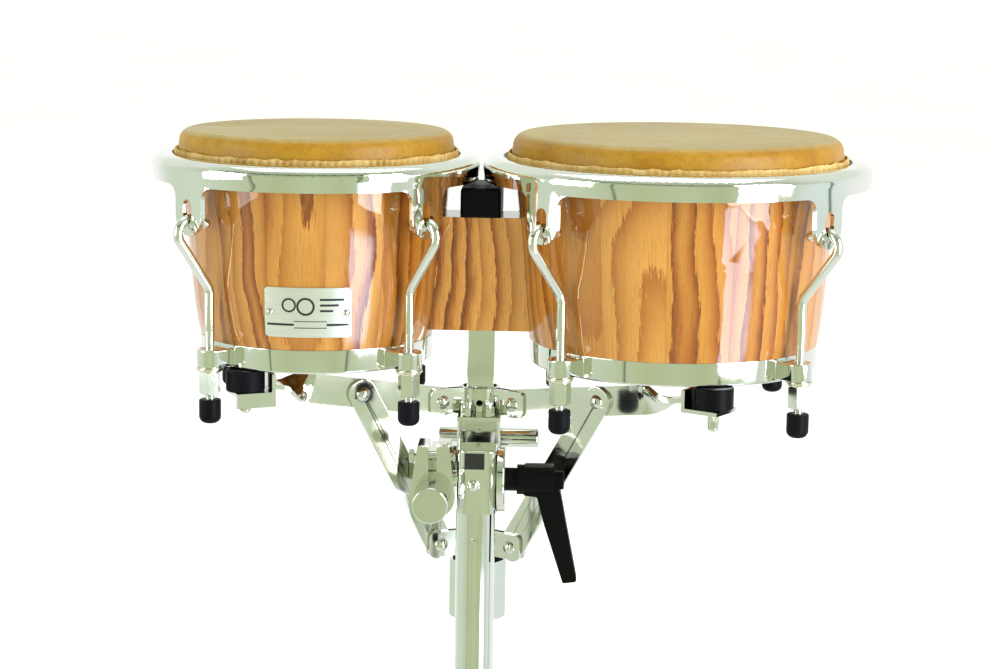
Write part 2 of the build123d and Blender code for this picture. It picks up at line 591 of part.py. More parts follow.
# collar: sleeve on the post with two pairs of ears
collar = rod_z(COLLAR_BOTTOM_Z, COLLAR_TOP_Z, HUB_X, HUB_Y, 11.0)
for arm in ARMS:
    side = 1 if arm is LEFT_ARM else -1
    inner = side * (ARM_T / 2 + ARM_GAP)
    for y0, y1 in ((inner - side * 0.25, inner - side * 2.25), (inner + side * 2.9, inner + side * 4.9)):
        plate = block(8.0, LINK_PIVOT_RHO + 8.5, min(y0, y1), max(y0, y1), COLLAR_BOTTOM_Z, COLLAR_TOP_Z)
        plate = fillet(plate.edges().filter_by(Axis.Y).sort_by(Axis.X)[-2:], 4.0)
        collar += polar(plate, arm)
    collar -= pivot_hole(LINK_PIVOT_RHO, LINK_PIVOT_Z, arm, PIVOT_R + 0.05)
    keep_clear = block(17.5, 60, min(inner, inner + side * 2.6) - 0.2, max(inner, inner + side * 2.6) + 0.2, -290, -260)
    collar -= polar(keep_clear, arm)
collar -= rod_z(COLLAR_BOTTOM_Z - 1, COLLAR_TOP_Z + 1, HUB_X, HUB_Y, POST_R + 0.05)
save("collar", collar)


def cross_bolt(y0, y1, rho, z, arm):
    # shank across the plates with a dome on the front and on the back
    shank = rod_y(y0, y1, rho, z, PIVOT_R)
    low = Pos(rho, min(y0, y1), z) * Rot(90, 0, 0) * dome(4.6, 2.6)
    high = Pos(rho, max(y0, y1), z) * Rot(-90, 0, 0) * dome(4.6, 2.6)
    return polar(shank + low + high, arm)


ear_out = ARM_T / 2 + ARM_GAP + EAR_PLATE_T
save("arm_pivot_bolts", *[cross_bolt(-ear_out - 0.03, ear_out + 0.03, ARM_PIVOT_RHO, ARM_PIVOT_Z, arm)
                          for arm in ARMS])
for tag, arm in (("left", LEFT_ARM), ("right", RIGHT_ARM)):
    side = 1 if arm is LEFT_ARM else -1
    a = -side * (ARM_T / 2 + 0.03)
    b = side * (ARM_T / 2 + ARM_GAP + 2.6 + 0.03)
    rivet = cross_bolt(a, b, arm["joint_rho"], arm["joint_z"], arm)
    save(tag + "_arm_fasteners", rivet, polar(pad_screw(arm), arm))
collar_bolts = []
for arm in ARMS:
    side = 1 if arm is LEFT_ARM else -1
    inner = side * (ARM_T / 2 + ARM_GAP)
    collar_bolts.append(cross_bolt(inner - side * 2.28, inner + side * 4.93, LINK_PIVOT_RHO, LINK_PIVOT_Z, arm))
save("collar_bolts", *collar_bolts)

# basket nut and its black thrust washer
thrust = rod_z(BASKET_NUT_TOP_Z, COLLAR_BOTTOM_Z - 0.05, HUB_X, HUB_Y, 17.0)
thrust = fillet(thrust.edges().sort_by(Axis.Z)[-1], 1.5)
thrust -= rod_z(-300, -270, HUB_X, HUB_Y, POST_R + 0.05)
save("thrust_washer", thrust)
basket_nut = hexagon(37.6, BASKET_NUT_BOTTOM_Z, BASKET_NUT_TOP_Z - 0.05, 8)
basket_nut = Pos(HUB_X, HUB_Y, 0) * Rot(0, 0, 22.5) * basket_nut
basket_nut -= rod_z(-340, -280, HUB_X, HUB_Y, POST_R + 0.05)
basket_nut -= rod_z(BASKET_NUT_BOTTOM_Z - 1, BASKET_NUT_BOTTOM_Z + 22, HUB_X, HUB_Y, 14.5)
save("basket_nut", basket_nut)

# ---- tilter ---------------------------------------------------------------------------
# moving bracket: cheek beside the barrel, bridge behind it, sleeve round the post
bracket = block(-40.0, -25.3, CLAMP_REAR_Y + 0.02, -1.0, -233.0, -206.0)
bracket += block(-40.0, 1.0, -15.6, -1.0, -233.0, -206.0)
bracket += rod_z(-233.0, -217.45, HUB_X, HUB_Y, 10.5)
bracket -= rod_z(-260, -190, HUB_X, HUB_Y, POST_R + 0.05)
bracket -= rod_y(CLAMP_REAR_Y - 1, YBAR_REAR_Y + 0.5, YBAR_X, YBAR_Z, YBAR_R + 0.4)
save("tilt_bracket", bracket)

outline = Pos(YBAR_X, YBAR_Z) * Circle(14.5)
outline += make_face(Polyline((YBAR_X - 14.35, YBAR_Z + 2.0), (-46.2, -197.5), (-25.6, -197.5),
                              (YBAR_X + 14.35, YBAR_Z + 2.0), close=True))
outline -= Pos(YBAR_X, YBAR_Z) * Circle(YBAR_R + 0.05)
outline -= Pos(YBAR_X, -207.0) * Rectangle(5.4, 26.0)
clamp_plane = Plane(origin=(0, CLAMP_REAR_Y, 0), x_dir=(1, 0, 0), z_dir=(0, -1, 0))
split_clamp = extrude(clamp_plane * outline, amount=CLAMP_REAR_Y - CLAMP_FRONT_Y)
split_clamp -= rod_x(-60, -20, -50.0, -205.5, 2.55)
split_clamp += rod_x(-24.6, 16.0, TILT_Y, TILT_Z, SHAFT_R)
save("split_clamp", split_clamp)
clamp_screw = rod_x(-49.0, -23.2, -50.0, -205.5, 2.5)
clamp_screw += Pos(-48.4, -50.0, -205.5) * Rot(0, -90, 0) * hexagon(8.0, 0, 3.4)
clamp_screw += Pos(-23.9, -50.0, -205.5) * Rot(0, 90, 0) * hexagon(8.0, 0, 2.2)
save("clamp_screws", clamp_screw, set_screw)

support_bar = rod_y(YBAR_FRONT_Y, YBAR_REAR_Y, YBAR_X, YBAR_Z, YBAR_R)
support_bar = chamfer(support_bar.edges().sort_by(Axis.Y)[0], 0.8)
save("support_bar", support_bar)

bx0, bx1, by0, by1, bz0, bz1 = BARREL
barrel = block(bx0, bx1, by0, by1, bz0, bz1)
barrel = fillet(barrel.edges().filter_by(Axis.Z), 7.0)
barrel = fillet(barrel.faces().sort_by(Axis.Z)[-1].edges(), 1.0)
barrel += rod_z(-262.0, bz0 + 1, MAST_X, MAST_Y, MAST_R - MAST_WALL - 0.05)
barrel -= rod_x(bx0 - 1, bx1 + 1, TILT_Y, TILT_Z, SHAFT_R + 0.05)
save("tilter_barrel", barrel)
disc = rod_x(bx1 + 0.02, 10.1, TILT_Y, TILT_Z, DISC_R)
disc = fillet(disc.edges().sort_by(Axis.X)[-1], 1.2)
disc -= rod_x(0, 12, TILT_Y, TILT_Z, SHAFT_R + 0.05)
save("tilter_disc", disc)
save("barrel_rivets",
     Pos(-9.9, by0 - 0.02, -222.2) * Rot(90, 0, 0) * dome(4.0, 3.0),
     Pos(-17.2, by0 - 0.02, -212.0) * Rot(90, 0, 0) * dome(1.6, 1.0))
save("tilter_label", block(-15.8, -3.0, by0 - 0.62, by0 - 0.02, -211.4, -201.0))

mast = rod_z(MAST_BOTTOM_Z, bz0 - 0.02, MAST_X, MAST_Y, MAST_R)
mast -= rod_z(MAST_BOTTOM_Z - 1, bz0 + 1, MAST_X, MAST_Y, MAST_R - MAST_WALL)
mast -= rod_y(MAST_Y - 20, MAST_Y, MAST_X, -257.5, 1.7)
save("mast_tube", mast)

# ---- clamp lever ------------------------------------------------------------------------
sleeve = rod_x(10.2, 20.0, TILT_Y, TILT_Z, 7.5)
sleeve += rod_x(19.5, 42.3, TILT_Y, TILT_Z, 6.0)
sleeve -= rod_x(0, 17.0, TILT_Y, TILT_Z, SHAFT_R + 0.05)
cap = rod_x(42.3, 48.0, TILT_Y, TILT_Z, 6.0)
cap = fillet(cap.edges().sort_by(Axis.X)[-1], 1.0)
save("lever_core", sleeve + cap)
handle = rod_x(17.6, 41.6, TILT_Y, TILT_Z, 9.7)
grip_plane = Plane(origin=(0, TILT_Y + 6.2, 0), x_dir=(1, 0, 0), z_dir=(0, -1, 0))
grip = make_face(Polyline((22.0, -211.0), (40.7, -210.8), (46.0, -228.8), (49.6, -247.4), (57.4, -286.4),
                          (48.3, -287.7), (35.5, -248.6), (30.7, -230.7), (22.1, -229.9), close=True))
grip = extrude(grip_plane * grip, amount=12.4)
grip = fillet(grip.edges().filter_by(Axis.Y), 1.5)
handle += grip
handle -= rod_x(10, 60, TILT_Y, TILT_Z, 6.1)
handle -= rod_x(10, 20.2, TILT_Y, TILT_Z, 7.6)
save("clamp_lever", handle)
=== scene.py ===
import math
import bpy
from mathutils import Matrix, Vector


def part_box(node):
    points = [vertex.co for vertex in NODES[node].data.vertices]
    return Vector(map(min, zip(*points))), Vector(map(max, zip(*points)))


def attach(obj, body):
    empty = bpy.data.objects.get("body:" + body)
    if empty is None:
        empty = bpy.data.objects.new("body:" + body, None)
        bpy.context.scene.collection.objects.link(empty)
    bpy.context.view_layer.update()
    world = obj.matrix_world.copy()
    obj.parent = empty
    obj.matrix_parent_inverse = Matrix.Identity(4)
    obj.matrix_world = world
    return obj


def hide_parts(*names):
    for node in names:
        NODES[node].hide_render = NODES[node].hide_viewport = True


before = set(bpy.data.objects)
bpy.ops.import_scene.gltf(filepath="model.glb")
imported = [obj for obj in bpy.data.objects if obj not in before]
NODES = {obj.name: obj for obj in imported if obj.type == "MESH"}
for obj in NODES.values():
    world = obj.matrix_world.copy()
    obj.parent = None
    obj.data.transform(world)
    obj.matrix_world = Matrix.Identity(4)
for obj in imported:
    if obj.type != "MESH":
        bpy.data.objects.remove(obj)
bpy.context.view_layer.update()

scene = bpy.context.scene


# ---------------------------------------------------------------- places
def centre(node):
    lo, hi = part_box(node)
    return (Vector(lo) + Vector(hi)) / 2


SMALL_C = centre("small_shell")
LARGE_C = centre("large_shell")
HEAD_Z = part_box("small_head")[1][2]


# ---------------------------------------------------------------- node helper
class Shader:
    def __init__(self, name):
        self.mat = bpy.data.materials.new(name)
        self.mat.use_nodes = True
        self.tree = self.mat.node_tree
        self.tree.nodes.clear()
        out = self.tree.nodes.new("ShaderNodeOutputMaterial")
        self.bsdf = self.tree.nodes.new("ShaderNodeBsdfPrincipled")
        self.tree.links.new(self.bsdf.outputs[0], out.inputs[0])
        self.coord = self.tree.nodes.new("ShaderNodeTexCoord").outputs["Object"]

    def put(self, socket, value):
        if isinstance(value, bpy.types.NodeSocket):
            self.tree.links.new(value, socket)
        elif isinstance(value, (tuple, list)) and socket.type == "RGBA" and len(value) == 3:
            socket.default_value = (*value, 1.0)
        else:
            socket.default_value = value

    def set(self, **values):
        for key, value in values.items():
            self.put(self.bsdf.inputs[key.replace("_", " ")], value)

    def math(self, op, a, b=0.0, clamp=False):
        n = self.tree.nodes.new("ShaderNodeMath")
        n.operation = op
        n.use_clamp = clamp
        self.put(n.inputs[0], a)
        if op not in ("FRACT", "FLOOR", "ABSOLUTE", "SQRT"):
            self.put(n.inputs[1], b)
        return n.outputs[0]

    def add(self, a, b, clamp=False):
        return self.math("ADD", a, b, clamp)

    def sub(self, a, b, clamp=False):
        return self.math("SUBTRACT", a, b, clamp)

    def mul(self, a, b, clamp=False):
        return self.math("MULTIPLY", a, b, clamp)

    def vec(self, x, y, z):
        n = self.tree.nodes.new("ShaderNodeCombineXYZ")
        for s, v in zip(n.inputs, (x, y, z)):
            self.put(s, v)
        return n.outputs[0]

    def xyz(self, v=None):
        n = self.tree.nodes.new("ShaderNodeSeparateXYZ")
        self.put(n.inputs[0], v if v is not None else self.coord)
        return n.outputs[0], n.outputs[1], n.outputs[2]

    def noise(self, v, scale, detail, rough, distortion=0.0):
        n = self.tree.nodes.new("ShaderNodeTexNoise")
        self.put(n.inputs["Vector"], v)
        n.inputs["Scale"].default_value = scale
        n.inputs["Detail"].default_value = detail
        n.inputs["Roughness"].default_value = rough
        n.inputs["Distortion"].default_value = distortion
        return n.outputs["Fac"]

    def white(self, w):
        n = self.tree.nodes.new("ShaderNodeTexWhiteNoise")
        n.noise_dimensions = "1D"
        self.put(n.inputs["W"], w)
        return self.xyz(n.outputs["Color"])

    def ramp(self, fac, stops):
        # a stop is (position, grey) or (position, (r, g, b))
        n = self.tree.nodes.new("ShaderNodeValToRGB")
        e = n.color_ramp.elements
        while len(e) < len(stops):
            e.new(0.5)
        for item, (pos, col) in zip(e, stops):
            item.position = pos
            item.color = (col, col, col, 1.0) if isinstance(col, (int, float)) else (*col, 1.0)
        self.put(n.inputs[0], fac)
        return n.outputs[0]

    def mix(self, fac, a, b, blend="MIX"):
        n = self.tree.nodes.new("ShaderNodeMix")
        n.data_type = "RGBA"
        n.blend_type = blend
        self.put(n.inputs[0], fac)
        self.put(n.inputs[6], a)
        self.put(n.inputs[7], b)
        return n.outputs[2]

    def bump(self, height, distance, strength):
        n = self.tree.nodes.new("ShaderNodeBump")
        n.inputs["Strength"].default_value = strength
        n.inputs["Distance"].default_value = distance
        self.put(n.inputs["Height"], height)
        return n.outputs[0]

    def scaled(self, kx, ky, kz, v=None):
        x, y, z = self.xyz(v)
        return self.vec(self.mul(x, kx), self.mul(y, ky), self.mul(z, kz))


# ---------------------------------------------------------------- materials
LIGHT_WOOD = ((0.41, 0.170, 0.024), (0.485, 0.218, 0.038), (0.56, 0.274, 0.064))
MID_WOOD = (0.315, 0.098, 0.011)
DARK_WOOD = (0.150, 0.034, 0.004)
PIT_WOOD = (0.10, 0.022, 0.004)
SEAM_WOOD = (0.10, 0.03, 0.008)
SEAM_HALF = 0.00014          # metres
BLOCK_PAINTED_LIGHT_GAIN = 1.40            # painted light: the centre block's wood colour is lifted 1.4 times to make up for the drums' shade it stands in


# staves sawn from different boards: year rings cut at a slope, with fibres, pores, stain and a coat of lacquer
def wood(name, cx, cy, radius, staves, seed, flat=False):
    s = Shader(name)
    x, y, z = s.xyz()
    if flat:
        u = s.sub(x, cx)
        along = s.add(u, s.mul(y, 0.6))
        board = s.math("FLOOR", s.math("DIVIDE", s.add(u, 0.5), 0.30))
        board = s.add(board, seed)
        local = s.add(along, -0.006)
    else:
        dx = s.sub(x, cx)
        dy = s.sub(y, cy)
        theta = s.math("ARCTAN2", dy, dx)
        turns = s.mul(theta, staves / (2 * math.pi))
        turns = s.add(turns, seed * 0.37 + 40.0)
        board = s.math("FLOOR", turns)
        local = s.mul(s.sub(s.math("FRACT", turns), 0.5), 2 * math.pi * radius / staves)
        along = s.mul(theta, radius)
        board = s.add(board, seed * 17.0)
    # one set of random numbers for each board
    r1, r2, r3 = s.white(board)
    q1, q2, q3 = s.white(s.add(board, 91.7))
    p = s.vec(along, s.mul(board, 3.7), z)
    # year rings: distance from a slanted pith, bent by two sizes of noise
    meander = s.sub(s.noise(s.scaled(9.0, 1.0, 10.0, p), 1.0, 1.5, 0.5), 0.5)
    small = s.sub(s.noise(s.scaled(45.0, 1.0, 26.0, p), 1.0, 2.0, 0.5), 0.5)
    pith = s.mul(s.sub(r1, 0.5), 0.085)
    du = s.add(s.sub(local, pith), s.mul(meander, 0.034))
    du = s.add(du, s.mul(small, 0.0045))
    slope = s.add(s.mul(s.math("POWER", r3, 3.0), 0.17), 0.03)
    lift = s.sub(s.sub(z, 0.16), s.mul(r2, 0.32))
    depth = s.mul(lift, slope)
    ring = s.math("SQRT", s.add(s.mul(du, du), s.mul(depth, depth)))
    pitch = s.add(s.mul(q3, 0.0058), 0.0078)
    count = s.add(s.math("DIVIDE", ring, pitch), q1)
    frac = s.math("FRACT", count)
    year = s.math("FLOOR", count)
    strong = s.white(s.add(year, s.mul(board, 31.0)))[0]
    # fibres and pores, which comb the soft edge of each ring
    fibre = s.noise(s.scaled(900.0, 1.0, 62.0, p), 1.0, 5.0, 0.72)
    pores = s.noise(s.scaled(1500.0, 1.0, 170.0, p), 1.0, 2.0, 0.6)
    reach_in = s.add(s.mul(s.sub(1.0, frac), 2.3), 0.30)
    comb = s.mul(s.sub(fibre, 0.5), reach_in)
    tooth = s.mul(s.sub(pores, 0.5), 0.34)
    reach = s.add(s.add(frac, comb), tooth, clamp=True)
    band = s.ramp(reach, [(0.0, 0.02), (0.26, 0.05), (0.50, 0.26), (0.74, 0.62), (0.92, 1.0),
                          (0.975, 0.35), (1.0, 0.0)])
    cloud = s.noise(s.scaled(20.0, 1.0, 9.0, p), 1.0, 2.0, 0.5)
    strength = s.add(s.mul(s.math("POWER", strong, 1.2), 0.85), 0.36)
    dark = s.mul(band, strength, clamp=True)
    stain = s.mul(s.ramp(cloud, [(0.56, 0.0), (0.80, 1.0)]), s.ramp(fibre, [(0.35, 0.2), (0.60, 0.75)]))
    dark = s.add(dark, s.mul(stain, s.add(s.mul(q2, 0.55), 0.10)), clamp=True)
    pits = s.ramp(pores, [(0.33, 1.0), (0.46, 0.0)])
    pits = s.mul(pits, s.add(s.mul(dark, 0.85), 0.12))
    warm = s.ramp(s.add(s.mul(cloud, 0.35), s.mul(q1, 0.60)),
                  [(0.10, LIGHT_WOOD[0]), (0.42, LIGHT_WOOD[1]), (0.80, LIGHT_WOOD[2])])
    col = s.mix(s.mul(dark, 2.0, clamp=True), warm, MID_WOOD)
    col = s.mix(s.sub(s.mul(dark, 2.0), 1.0, clamp=True), col, DARK_WOOD)
    # painted light: on the flat block the fibre tone is multiplied up by the gain, which lifts its colour out of the
    # drums' shade
    painted_light_gain = BLOCK_PAINTED_LIGHT_GAIN if flat else 1.0
    tone = s.ramp(fibre, [(0.30, 0.66 * painted_light_gain), (0.50, painted_light_gain), (0.70, 1.16 * painted_light_gain)])
    col = s.mix(1.0, col, tone, "MULTIPLY")
    col = s.mix(s.mul(pits, 0.75), col, PIT_WOOD)
    if not flat:
        seam = s.math("ABSOLUTE", local)
        seam = s.math("GREATER_THAN", seam, math.pi * radius / staves - SEAM_HALF)
        col = s.mix(s.mul(seam, 0.35), col, SEAM_WOOD)
    rough = s.ramp(fibre, [(0.2, 0.42), (0.8, 0.30)])
    height = s.add(s.mul(fibre, 0.3), s.mul(dark, -0.4))
    wave = s.noise(s.coord, 26.0, 2.0, 0.5)
    s.set(Base_Color=col, Roughness=rough, Normal=s.bump(height, 0.00006, 0.5))
    s.set(Coat_Normal=s.bump(wave, 0.0010, 0.03))
    s.set(Coat_Weight=1.0, Coat_Roughness=0.022, Coat_IOR=1.60, Specular_IOR_Level=0.12)
    return s.mat


# plated metal: a tint, a range of roughness, the height of its ripple and the size of its smears
def chrome(name, tint=(0.80, 0.815, 0.775), rough=(0.03, 0.07), wobble=0.00001, grain=30.0):
    s = Shader(name)
    smear = s.noise(s.coord, grain, 3.0, 0.55)
    speck = s.noise(s.coord, 900.0, 2.0, 0.5)
    fog = s.add(s.mul(smear, 0.8), s.mul(speck, 0.2))
    r = s.ramp(fog, [(0.30, rough[0]), (0.70, rough[1])])
    shade = s.mix(s.ramp(smear, [(0.35, 0.0), (0.75, 1.0)]), tint, tuple(c * 0.93 for c in tint))
    ripple = s.noise(s.coord, 55.0, 2.0, 0.5)
    s.set(Base_Color=shade, Roughness=r, Normal=s.bump(ripple, wobble, 0.6))
    s.set(Metallic=1.0)
    return s.mat


# rawhide: matt and pale on top, warmer down the turned side
def hide(name, seed):
    s = Shader(name)
    x, y, z = s.xyz()
    p = s.vec(s.add(x, seed), y, z)
    big = s.noise(p, 9.0, 4.0, 0.55, 0.6)
    mid = s.noise(p, 42.0, 4.0, 0.6, 0.4)
    fibre = s.noise(s.scaled(160.0, 420.0, 160.0, p), 1.0, 4.0, 0.65, 0.8)
    speck = s.noise(p, 1300.0, 2.0, 0.6)
    top = s.ramp(s.add(s.mul(big, 0.6), s.mul(mid, 0.4)),
                 [(0.30, (0.345, 0.232, 0.070)), (0.50, (0.425, 0.315, 0.114)), (0.72, (0.51, 0.408, 0.185))])
    side = s.ramp(s.add(s.mul(big, 0.5), s.mul(mid, 0.5)),
                  [(0.30, (0.305, 0.135, 0.008)), (0.52, (0.39, 0.205, 0.015)), (0.75, (0.47, 0.285, 0.042))])
    down = s.sub(HEAD_Z, z)
    k = s.ramp(s.mul(down, 200.0), [(0.02, 0.0), (0.55, 1.0)])
    col = s.mix(k, top, side)
    veins = s.ramp(fibre, [(0.35, 0.86), (0.52, 1.0), (0.72, 1.08)])
    col = s.mix(1.0, col, veins, "MULTIPLY")
    col = s.mix(s.ramp(speck, [(0.30, 0.25), (0.42, 0.0)]), col, (0.26, 0.13, 0.03))
    rough = s.ramp(mid, [(0.3, 0.34), (0.7, 0.52)])
    h = s.add(s.mul(mid, 0.8), s.mul(fibre, 0.35))
    s.set(Base_Color=col, Roughness=rough, Normal=s.bump(h, 0.00035, 0.45))
    s.set(Subsurface_Weight=0.08, Subsurface_Radius=(0.004, 0.002, 0.0008), Subsurface_Scale=0.6)
    s.set(Specular_IOR_Level=0.28)
    return s.mat


# the skin's dry free edge
def frill(name):
    s = Shader(name)
    big = s.noise(s.coord, 60.0, 3.0, 0.6)
    thread = s.noise(s.scaled(700.0, 700.0, 240.0), 1.0, 3.0, 0.6)
    col = s.ramp(s.add(s.mul(big, 0.6), s.mul(thread, 0.4)),
                 [(0.28, (0.36, 0.19, 0.035)), (0.50, (0.55, 0.35, 0.10)), (0.74, (0.80, 0.64, 0.33))])
    s.set(Base_Color=col, Roughness=s.ramp(thread, [(0.3, 0.55), (0.7, 0.8)]),
          Normal=s.bump(thread, 0.0003, 0.6))
    s.set(Subsurface_Weight=0.12, Subsurface_Radius=(0.003, 0.0015, 0.0006), Subsurface_Scale=0.5)
    return s.mat


def rubber(name, col=(0.0022, 0.0025, 0.0042), rough=(0.36, 0.52), grain=900.0, depth=0.00008):
    s = Shader(name)
    pebble = s.noise(s.coord, grain, 3.0, 0.6)
    dust = s.noise(s.coord, 24.0, 4.0, 0.6)
    c = s.mix(s.ramp(dust, [(0.45, 0.0), (0.80, 0.6)]), col, tuple(v * 2.6 for v in col))
    s.set(Base_Color=c, Roughness=s.ramp(dust, [(0.3, rough[0]), (0.7, rough[1])]),
          Normal=s.bump(pebble, depth, 0.5))
    s.set(Specular_IOR_Level=0.09)
    return s.mat


def satin_plate(name):
    s = Shader(name)
    brush = s.noise(s.scaled(40.0, 40.0, 2600.0), 1.0, 3.0, 0.6)
    cloud = s.noise(s.coord, 30.0, 2.0, 0.5)
    col = s.ramp(s.add(s.mul(brush, 0.4), s.mul(cloud, 0.6)),
                 [(0.3, (0.74, 0.76, 0.77)), (0.7, (0.88, 0.90, 0.90))])
    s.set(Base_Color=col, Roughness=s.ramp(brush, [(0.3, 0.26), (0.7, 0.40)]),
          Normal=s.bump(brush, 0.00002, 0.4))
    s.set(Metallic=0.85)
    return s.mat


def ink(name, col, rough=0.45):
    s = Shader(name)
    n = s.noise(s.coord, 1400.0, 2.0, 0.5)
    c = s.mix(s.ramp(n, [(0.35, 0.0), (0.75, 0.5)]), col, tuple(min(1.0, v * 1.7 + 0.01) for v in col))
    s.set(Base_Color=c, Roughness=s.ramp(n, [(0.3, rough - 0.08), (0.7, rough + 0.08)]),
          Normal=s.bump(n, 0.00002, 0.4))
    return s.mat


M = {
    "small_wood": wood("small_wood", SMALL_C.x, SMALL_C.y, 0.083, 14, 3.0),
    "large_wood": wood("large_wood", LARGE_C.x, LARGE_C.y, 0.101, 15, 8.0),
    # the centre block's wood carries painted light: flat=True lifts its colour to make up for the shade between the
    # drums
    "block_wood_painted_light": wood("block_wood_painted_light", centre("centre_block").x, SMALL_C.y, 0.1, 10, 5.0, flat=True),
    "chrome": chrome("bright_chrome"),
    "chrome_soft": chrome("tumbled_chrome", (0.74, 0.755, 0.70), (0.06, 0.14), 0.00003, 45.0),
    "chrome_nut": chrome("nut_chrome", (0.86, 0.88, 0.87), (0.10, 0.20), 0.00004, 70.0),
    "zinc": chrome("zinc_plate", (0.60, 0.61, 0.57), (0.22, 0.36), 0.00010, 120.0),
    "washer": chrome("washer_nickel", (0.93, 0.88, 0.76), (0.16, 0.28), 0.00004, 90.0),
    "small_hide": hide("small_hide", 0.0),
    "large_hide": hide("large_hide", 0.9),
    "frill": frill("skin_edge"),
    "rubber": rubber("black_rubber"),
    "nylon": rubber("black_nylon", (0.0016, 0.0017, 0.0017), (0.42, 0.52), 1500.0, 0.00006),
    "badge": satin_plate("badge_satin"),
    "badge_ink": ink("badge_ink", (0.012, 0.013, 0.013)),
    "label": ink("label_film", (0.010, 0.010, 0.010), 0.35),
}

USE = {
    "small_shell": "small_wood", "large_shell": "large_wood", "centre_block": "block_wood_painted_light",
    "small_head": "small_hide", "large_head": "large_hide", "small_skin_edge": "frill", "large_skin_edge": "frill",
    "small_hook_tips": "rubber", "large_hook_tips": "rubber", "hook_rubber": "rubber", "left_pad": "rubber",
    "right_pad": "rubber", "thrust_washer": "nylon", "clamp_lever": "nylon", "lever_core": "nylon",
    "badge_plate": "badge", "tilter_label": "label", "tuning_washers": "washer", "flesh_hoops": "zinc",
    "block_bolts": "zinc", "centre_post": "zinc",
}
SOFT_CHROME = (
    "badge_screws left_arm_fasteners right_arm_fasteners arm_pivot_bolts collar_bolts clamp_screws left_arm right_arm "
    "left_link right_link collar basket_hub hub_bolts cross_bar support_bar split_clamp tilter_disc hub_plate "
    "hub_block tilt_bracket barrel_rivets hook_strap").split()
for n in SOFT_CHROME:
    USE[n] = "chrome_soft"
for tag in ("small", "large"):
    for i in range(4):
        USE["%s_nut_%d" % (tag, i + 1)] = "chrome_nut"

for name, obj in NODES.items():
    obj.data.materials.clear()
    obj.data.materials.append(M[USE.get(name, "chrome")])


# ---------------------------------------------------------------- edges of the CAD pieces
def soften(name, width):
    obj = NODES[name]
    weld = obj.modifiers.new("weld", "WELD")
    weld.merge_threshold = 2e-6
    bevel = obj.modifiers.new("bevel", "BEVEL")
    bevel.width = width
    bevel.segments = 2
    bevel.limit_method = "ANGLE"
    bevel.angle_limit = math.radians(32.0)
    bevel.use_clamp_overlap = True
    obj.data.polygons.foreach_set("use_smooth", [True] * len(obj.data.polygons))
    split = obj.modifiers.new("split", "EDGE_SPLIT")
    split.split_angle = math.radians(40.0)
    split.use_edge_sharp = False
    # keeps flat faces mirroring flat beside the rounded edges
    level = obj.modifiers.new("level", "WEIGHTED_NORMAL")
    level.mode = "FACE_AREA"
    level.weight = 90


# edge radius in metres; the rest get SMALL_ROUND
SMALL_ROUND = 0.00015
ROUND = {
    "small_rim": 0.0006, "large_rim": 0.0006, "small_bottom_ring": 0.0004, "large_bottom_ring": 0.0004,
    "centre_block": 0.0009, "small_shell": 0.0004, "large_shell": 0.0004, "hook_strap": 0.0005,
    "basket_hub": 0.0004, "hub_plate": 0.0004, "hub_block": 0.0005, "left_arm": 0.0004, "right_arm": 0.0004,
    "left_link": 0.0004, "right_link": 0.0004, "collar": 0.0004, "basket_nut": 0.0006, "split_clamp": 0.0005,
    "tilt_bracket": 0.0006, "tilter_disc": 0.0003, "clamp_lever": 0.0005, "support_bar": 0.0002,
}
for name in NODES:
    soften(name, ROUND.get(name, SMALL_ROUND))


# ---------------------------------------------------------------- mesh pieces
def mesh_piece(name, verts, faces, mat, body, smooth=True):
    me = bpy.data.meshes.new(name)
    me.from_pydata([tuple(v) for v in verts], [], faces)
    me.validate()
    me.polygons.foreach_set("use_smooth", [smooth] * len(me.polygons))
    me.materials.append(mat)
    ob = bpy.data.objects.new(name, me)
    scene.collection.objects.link(ob)
    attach(ob, body)
    return ob


def revolve_grid(profile_at, steps):
    # profile_at(angle) gives a closed loop of (radius, z); returns verts and quads round the Z axis
    verts, faces = [], []
    count = len(profile_at(0.0))
    for i in range(steps):
        a = 2 * math.pi * i / steps
        for r, z in profile_at(a):
            verts.append((r * math.cos(a), r * math.sin(a), z))
    for i in range(steps):
        j = (i + 1) % steps
        for k in range(count):
            m = (k + 1) % count
            faces.append((i * count + k, j * count + k, j * count + m, i * count + m))
    return verts, faces


def hash01(i, seed):
    v = math.sin(i * 12.9898 + seed * 78.233) * 43758.5453
    return v - math.floor(v)


def smooth_noise(t, period, seed):
    # periodic value noise on a circle; t runs 0..1
    x = t * period
    i = math.floor(x)
    f = x - i
    f = f * f * (3 - 2 * f)
    return hash01(i % period, seed) * (1 - f) + hash01((i + 1) % period, seed) * f


